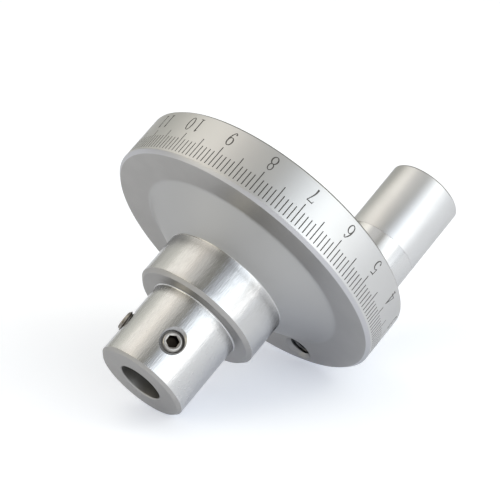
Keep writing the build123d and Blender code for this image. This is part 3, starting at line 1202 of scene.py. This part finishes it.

# %% [markdown]
# ## Steel of the set screws
#
# The set screws are bright steel, with painted shade in the grooves between the threads and in the socket.
# A mask for each is worked out from the screw's own radius and depth, so the Mapping node turns the pattern
# to the screw's axis. The masks follow the same chamfer and mouth as the mesh. The proud screw is painted
# darker than the other as painted shade.

# %% Steel of the set screws
def screw_steel(name, angle, proud, light, dark):
    """Bright steel for a set screw, with painted shade in its thread grooves and in its socket."""
    material, tree, shader, _ = metal(name, light, dark, 0.3, grain=0.006, spread=0.1)
    coordinates = add_node(tree, "ShaderNodeTexCoord")
    back = beside_bore(angle).inverted()
    turn = add_node(tree, "ShaderNodeMapping", {
        "Vector": (coordinates, "Object"), "Location": back.to_translation(), "Rotation": back.to_euler()},
        vector_type="POINT")
    around = placed(tree, round_group, (turn, 0))
    depth = calculate(tree, "SUBTRACT", nose_radius + proud, (around, "Along"))
    chamfer = calculate(tree, "ADD", calculate(tree, "MULTIPLY", depth, chamfer_slope), chamfer_radius)
    below = calculate(tree, "SUBTRACT", chamfer, (around, "Radius"))
    # The thread grooves under the chamfer are tinted darker as painted shade.
    groove_painted_shade = calculate(tree, "MULTIPLY", ramp_between(tree, (around, "Radius"), 2.9, 2.65),
                          ramp_between(tree, below, 0.06, 0.2))
    tinted(tree, shader, groove_painted_shade, (0.33, 0.315, 0.3))
    # The socket is tinted black as painted shade deep in it.
    below_mouth = calculate(tree, "ADD", calculate(tree, "MULTIPLY", depth, 2.0), (around, "Radius"))
    past_mouth = calculate(tree, "SUBTRACT", below_mouth, mouth_radius)
    socket_painted_shade = calculate(tree, "MULTIPLY", ramp_between(tree, (around, "Radius"), 1.9, 1.8),
                          ramp_between(tree, past_mouth, 0.03, 0.1))
    tinted(tree, shader, socket_painted_shade, (0.016, 0.013, 0.01))
    return material


left_screw.data.materials.append(screw_steel(
    "left_screw_steel", left_screw_angle, left_proud, (0.56, 0.54, 0.515), (0.38, 0.365, 0.35)))
# The proud screw's darker colours are painted shade on the same steel.
right_screw.data.materials.append(screw_steel(
    "right_screw_steel", right_screw_angle, right_proud, (0.36, 0.335, 0.31), (0.2, 0.185, 0.17)))

# %% [markdown]
# ## Camera
#
# A long lens from the upper right front, as in the photograph. Its place, its direction and its length were
# fitted to the circles that the photograph shows, since a circle's ellipse tells how it is turned. The three
# columns of its matrix are the picture's right, its up and the way back to the camera.

# %% Camera
focal_length = 158.06
camera_place = Vector((-0.40198, 0.15023, 0.33776))
picture_right = Vector((-0.66448, -0.6027, -0.44185))
picture_down = Vector((-0.20844, 0.7173, -0.66487))
forward = Vector((0.71771, -0.3497, -0.60223))
camera_data = bpy.data.cameras.new("camera")
camera_data.sensor_width = 36.0
camera_data.lens = focal_length
camera_data.clip_start = 0.01
camera = linked("camera", camera_data)
turned_to = Matrix((picture_right, -picture_down, -forward)).transposed().to_4x4()
camera.matrix_world = Matrix.Translation(camera_place) @ turned_to
bpy.context.scene.camera = camera
bpy.context.scene.view_settings.view_transform = "Standard"
print("camera at", round(camera_place.length, 3), "m from the nose")

# %% [markdown]
# ## Table
#
# The part lies on the edge of its nose and on its rim, so the table is the plane that touches both, and its
# shadow falls where the real one does. The table is white to the camera through a glow that only camera,
# glossy and transmission rays see: more light on the object would wash out its colours. Farther out the
# glow is stronger, for the views from other sides, where the lamps don't reach.

# %% Plane of the table
# The direction in which the part touches the table, as seen along its axis.
rest_direction = Vector((0.069, 0, -0.9976)).normalized()
nose_corner = (rest_direction * nose_radius + Vector((0, -nose_chamfer, 0))) * mm
rim_corner = (rest_direction * wheel_radius + Vector((0, rim_near - rim_chamfer, 0))) * mm
along_edge = (rim_corner - nose_corner).normalized()
table_normal = along_edge.cross(rest_direction.cross(Vector((0, 1, 0)))).normalized()
if table_normal.dot(rest_direction) > 0:
    table_normal = -table_normal
table_right = (picture_right - table_normal * picture_right.dot(table_normal)).normalized()
table_away = table_normal.cross(table_right)
aim = Vector((0, -0.04, 0))
table_gap = 0.05
table_middle = aim + table_normal * (table_normal.dot(nose_corner - aim) - table_gap * mm)
print("table normal", [round(value, 4) for value in table_normal])

# %% Table
table_size = 3.0
corners = [table_middle + table_right * x * table_size + table_away * y * table_size
           for x, y in ((-1, -1), (1, -1), (1, 1), (-1, 1))]
table = linked("table", mesh_of("table", corners, [(0, 1, 2, 3)]))


def seen_directly(tree):
    """1 for camera, glossy and transmission rays, 0 for the light that falls on things."""
    path = add_node(tree, "ShaderNodeLightPath")
    either = calculate(tree, "MAXIMUM", (path, "Is Camera Ray"), (path, "Is Glossy Ray"))
    return calculate(tree, "MAXIMUM", either, (path, "Is Transmission Ray"))


table_glow = 0.41
far_glow = 0.9
glow_from, glow_to = 0.6, 1.4
table_paint, shader = blank_material("table_white")
tree = table_paint.node_tree
coordinates = add_node(tree, "ShaderNodeTexCoord")
from_part = add_node(tree, "ShaderNodeVectorMath", {0: (coordinates, "Object")}, operation="LENGTH")
glow = ramp_between(tree, (from_part, "Value"), glow_from, glow_to, table_glow, far_glow)
geometry = add_node(tree, "ShaderNodeNewGeometry")
path = add_node(tree, "ShaderNodeLightPath")
behind = calculate(tree, "MULTIPLY", (geometry, "Backfacing"), (path, "Is Camera Ray"))
# A camera below the table sees through it, by its alpha.
feed(tree, shader, {
    "Base Color": (0.8, 0.8, 0.8, 1), "Roughness": 0.9, "Specular IOR Level": 0.0,
    "Emission Color": (0.81, 0.865, 1, 1),
    "Emission Strength": calculate(tree, "MULTIPLY", seen_directly(tree), glow),
    "Alpha": calculate(tree, "SUBTRACT", 1.0, behind)})
table.data.materials.append(table_paint)
print("table glow:", table_glow, "near,", far_glow, "far")

# %% [markdown]
# ## Surroundings and softboxes
#
# Bright metal is a picture of its surroundings, so the places and sizes of the softboxes make the bands on
# the hub and the handle. One big lamp or a picture of a studio would be quicker, but then no band could be
# moved by itself. The directions are an azimuth from the picture's right and an elevation above the table.
# Between the softboxes the metal sees dim studio walls, as in a real studio, and their edges are soft. The
# slightly blue and warm colours belong to the lamps, not to the metal.

# %% World
world_level = 0.35
world = bpy.data.worlds.new("studio")
bpy.context.scene.world = world
world.use_nodes = True
tree = world.node_tree
extra = calculate(tree, "MULTIPLY", seen_directly(tree), 1 - world_level)
feed(tree, tree.nodes["Background"], {
    "Color": (1, 1, 1, 1), "Strength": calculate(tree, "ADD", extra, world_level)})
print("world lights with", world_level)

# %% Dim studio walls
# The walls stand outside the softboxes. The camera doesn't see them, but the metal does.
wall_level = 0.36
wall_radius = 2.0
mesh = bmesh.new()
bmesh.ops.create_icosphere(mesh, subdivisions=4, radius=wall_radius)
wall_data = bpy.data.meshes.new("studio_walls")
mesh.to_mesh(wall_data)
mesh.free()
walls = linked("studio_walls", wall_data)
walls.visible_camera = False
wall_paint, shader = blank_material("wall_paint")
tree = wall_paint.node_tree
tree.nodes.remove(shader)
glow = add_node(tree, "ShaderNodeEmission", {"Color": (1, 0.98, 0.87, 1), "Strength": wall_level})
feed(tree, tree.nodes["Material Output"], {"Surface": (glow, 0)})
walls.data.materials.append(wall_paint)
print("studio walls:", len(walls.data.polygons), "faces")

# %% Soft edges of the softboxes
# A lamp's light fades over this share of its width at each edge.
fade = 0.36
edge_group = bpy.data.node_groups.new("Soft Edges", "ShaderNodeTree")
edge_group.interface.new_socket("Level", in_out="OUTPUT", socket_type="NodeSocketFloat")
group_out = edge_group.nodes.new("NodeGroupOutput")
surface = add_node(edge_group, "ShaderNodeNewGeometry")
across_lamp = add_node(edge_group, "ShaderNodeSeparateXYZ", {0: (surface, "Parametric")})
levels = []
for axis in "XY":
    signed = calculate(edge_group, "SUBTRACT", (across_lamp, axis), 0.5)
    from_middle = calculate(edge_group, "ABSOLUTE", signed)
    levels.append(ramp_between(edge_group, from_middle, 0.5, 0.5 - fade))
feed(edge_group, group_out, {"Level": calculate(edge_group, "MULTIPLY", *levels)})
print(edge_group.name, "has", len(edge_group.nodes), "nodes")


# %% Softboxes
lamp_distance = 1.2


def softbox(name, azimuth, elevation, width, height, level, colour):
    """A soft-edged lamp that looks at the part. Its size, to the middle of its edges, is in degrees."""
    azimuth, elevation = radians(azimuth), radians(elevation)
    level_part = table_right * cos(azimuth) + table_away * sin(azimuth)
    outwards = level_part * cos(elevation) + table_normal * sin(elevation)
    across = table_away * cos(azimuth) - table_right * sin(azimuth)
    data = bpy.data.lights.new(name, "AREA")
    data.shape = "RECTANGLE"
    data.size = 2 * lamp_distance * tan(radians(width / 2)) / (1 - fade)
    data.size_y = 2 * lamp_distance * tan(radians(height / 2)) / (1 - fade)
    data.energy = level * pi * data.size * data.size_y
    data.color = colour
    data.use_nodes = True
    lamp_tree = data.node_tree
    soft = add_node(lamp_tree, "ShaderNodeGroup", node_tree=edge_group)
    feed(lamp_tree, lamp_tree.nodes["Emission"], {"Strength": (soft, "Level")})
    lamp = linked(name, data)
    axes = Matrix((across, outwards.cross(across), outwards)).transposed().to_4x4()
    lamp.matrix_world = Matrix.Translation(aim + outwards * lamp_distance) @ axes
    lamp.visible_camera = False


softbox("window", -12, 36, 24, 22, 2.64, (0.96, 1.0, 0.96))
softbox("window_right", 14, 36, 26, 22, 0.8, (1.0, 1.0, 0.88))
softbox("window_top", 0, 56, 44, 16, 1.0, (1.0, 1.0, 0.97))
softbox("window_low", -8, 12, 26, 24, 0.86, (0.93, 1.0, 1.1))
softbox("bridge", -32, 17, 20, 34, 1.38, (0.99, 1.0, 1.01))
softbox("horizon", -26, 5, 26, 10, 0.8, (1.0, 1.0, 1.0))
softbox("cool", -58, 33, 38, 22, 1.73, (0.92, 1.0, 1.09))
softbox("cool_top", -54, 52, 50, 13, 0.4, (0.87, 1.0, 1.25))
softbox("cool_low", -60, 11, 36, 22, 2.49, (0.94, 1.0, 1.03))
softbox("warm", 168, 56, 34, 36, 0.3, (1.12, 1.0, 0.98))
softbox("warm_left", -156, 54, 34, 36, 0.66, (1.08, 1.0, 0.85))
softbox("warm_right", 135, 55, 30, 36, 1.12, (1.02, 1.0, 0.91))
softbox("warm_low_left", -160, 20, 34, 30, 1.5, (1.07, 1.0, 0.78))
softbox("warm_low_right", 135, 26, 26, 20, 0.62, (1.0, 1.0, 0.92))
softbox("far_left", 116, 9, 26, 20, 0.4, (0.98, 1.0, 0.95))
softbox("top", 0, 90, 34, 34, 0.5, (1.0, 1.0, 1.03))
softbox("beside_camera", -97, 22, 40, 28, 0.6, (1.0, 1.0, 1.0))
print("softboxes:", len(bpy.data.lights))
